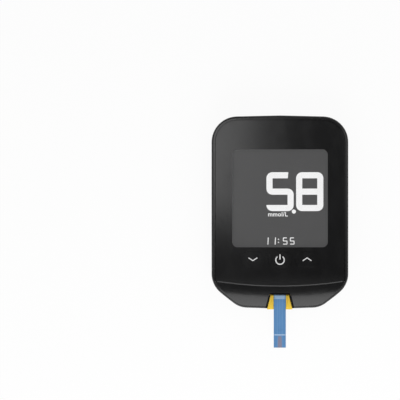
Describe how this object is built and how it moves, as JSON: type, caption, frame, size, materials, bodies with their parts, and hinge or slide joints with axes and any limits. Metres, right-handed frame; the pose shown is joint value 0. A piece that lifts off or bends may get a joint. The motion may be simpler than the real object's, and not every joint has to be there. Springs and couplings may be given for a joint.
{
  "type": "blood glucose meter",
  "caption": "Slim handheld blood glucose meter with a clear display window, flush keys, a sprung strip port with its test strip, a data socket and a sliding battery door.",
  "frame": {"origin": "centre of the flat back that the meter rests on, midway along and across the body", "axes": "+Z out of the display, +Y from the strip port towards the data socket, +X across the meter to the right, seen from the display side"},
  "size_m": [0.06, 0.1021, 0.011],
  "materials": {
    "housing_plastic": "fine satin black moulding",
    "panel_plastic": "smooth dark black, soft gloss",
    "window_plastic": "clear polished plastic",
    "foam": "closed-cell foam",
    "display_film": "grey polarising film",
    "display_glass": "polished glass",
    "white_plastic": "moulded white plastic",
    "connector_rubber": "striped conductive rubber",
    "board": "green solder mask",
    "steel": "bright plated steel",
    "chip": "black moulding compound",
    "component_ceramic": "fired ceramic with tinned ends",
    "gold_contact": "gold-plated spring sheet",
    "yellow_plastic": "warm yellow moulding",
    "strip_film": "printed blue polyester film",
    "strip_carbon": "printed carbon"
  },
  "bodies": {
    "meter_body": {"front_housing": "housing_plastic", "rear_housing": "housing_plastic", "front_panel": "panel_plastic", "display_window": "window_plastic", "window_gasket": "foam", "display_polariser": "display_film", "display_front_glass": "display_glass", "display_rear_glass": "display_glass", "display_holder": "white_plastic", "zebra_connector": "connector_rubber", "circuit_board": "board", "board_screws": "steel", "processor_chip": "chip", "board_components": "component_ceramic", "buzzer": "chip", "switch_housings": "white_plastic", "switch_domes": "steel", "coin_cell": "steel", "cell_spring_contact": "gold_contact", "cell_side_contact": "gold_contact", "strip_tray": "yellow_plastic", "strip_connector": "white_plastic", "strip_contacts": "gold_contact", "data_socket_shell": "steel", "data_socket_tongue": "chip", "data_socket_contacts": "gold_contact"},
    "down_key": {"key_down": "panel_plastic", "plunger_down": "chip"},
    "power_key": {"key_power": "panel_plastic", "plunger_power": "chip"},
    "up_key": {"key_up": "panel_plastic", "plunger_up": "chip"},
    "battery_door": {"battery_door": "housing_plastic"},
    "test_strip": {"strip_base": "strip_film", "strip_cover": "strip_film", "strip_electrodes": "strip_carbon"}
  },
  "joints": [
    {"name": "down_key_press", "type": "slide", "parent": "meter_body", "child": "down_key", "axis": [0, 0, -1], "range_m": [0, 0.00025], "stiffness_N_per_m": 2500},
    {"name": "power_key_press", "type": "slide", "parent": "meter_body", "child": "power_key", "axis": [0, 0, -1], "range_m": [0, 0.00025], "stiffness_N_per_m": 2500},
    {"name": "up_key_press", "type": "slide", "parent": "meter_body", "child": "up_key", "axis": [0, 0, -1], "range_m": [0, 0.00025], "stiffness_N_per_m": 2500},
    {"name": "battery_door_slide", "type": "slide", "parent": "meter_body", "child": "battery_door", "axis": [0, 1, 0], "range_m": [0, 0.03]},
    {"name": "test_strip_slide", "type": "slide", "parent": "meter_body", "child": "test_strip", "axis": [0, -1, 0], "range_m": [0, 0.016]}
  ]
}
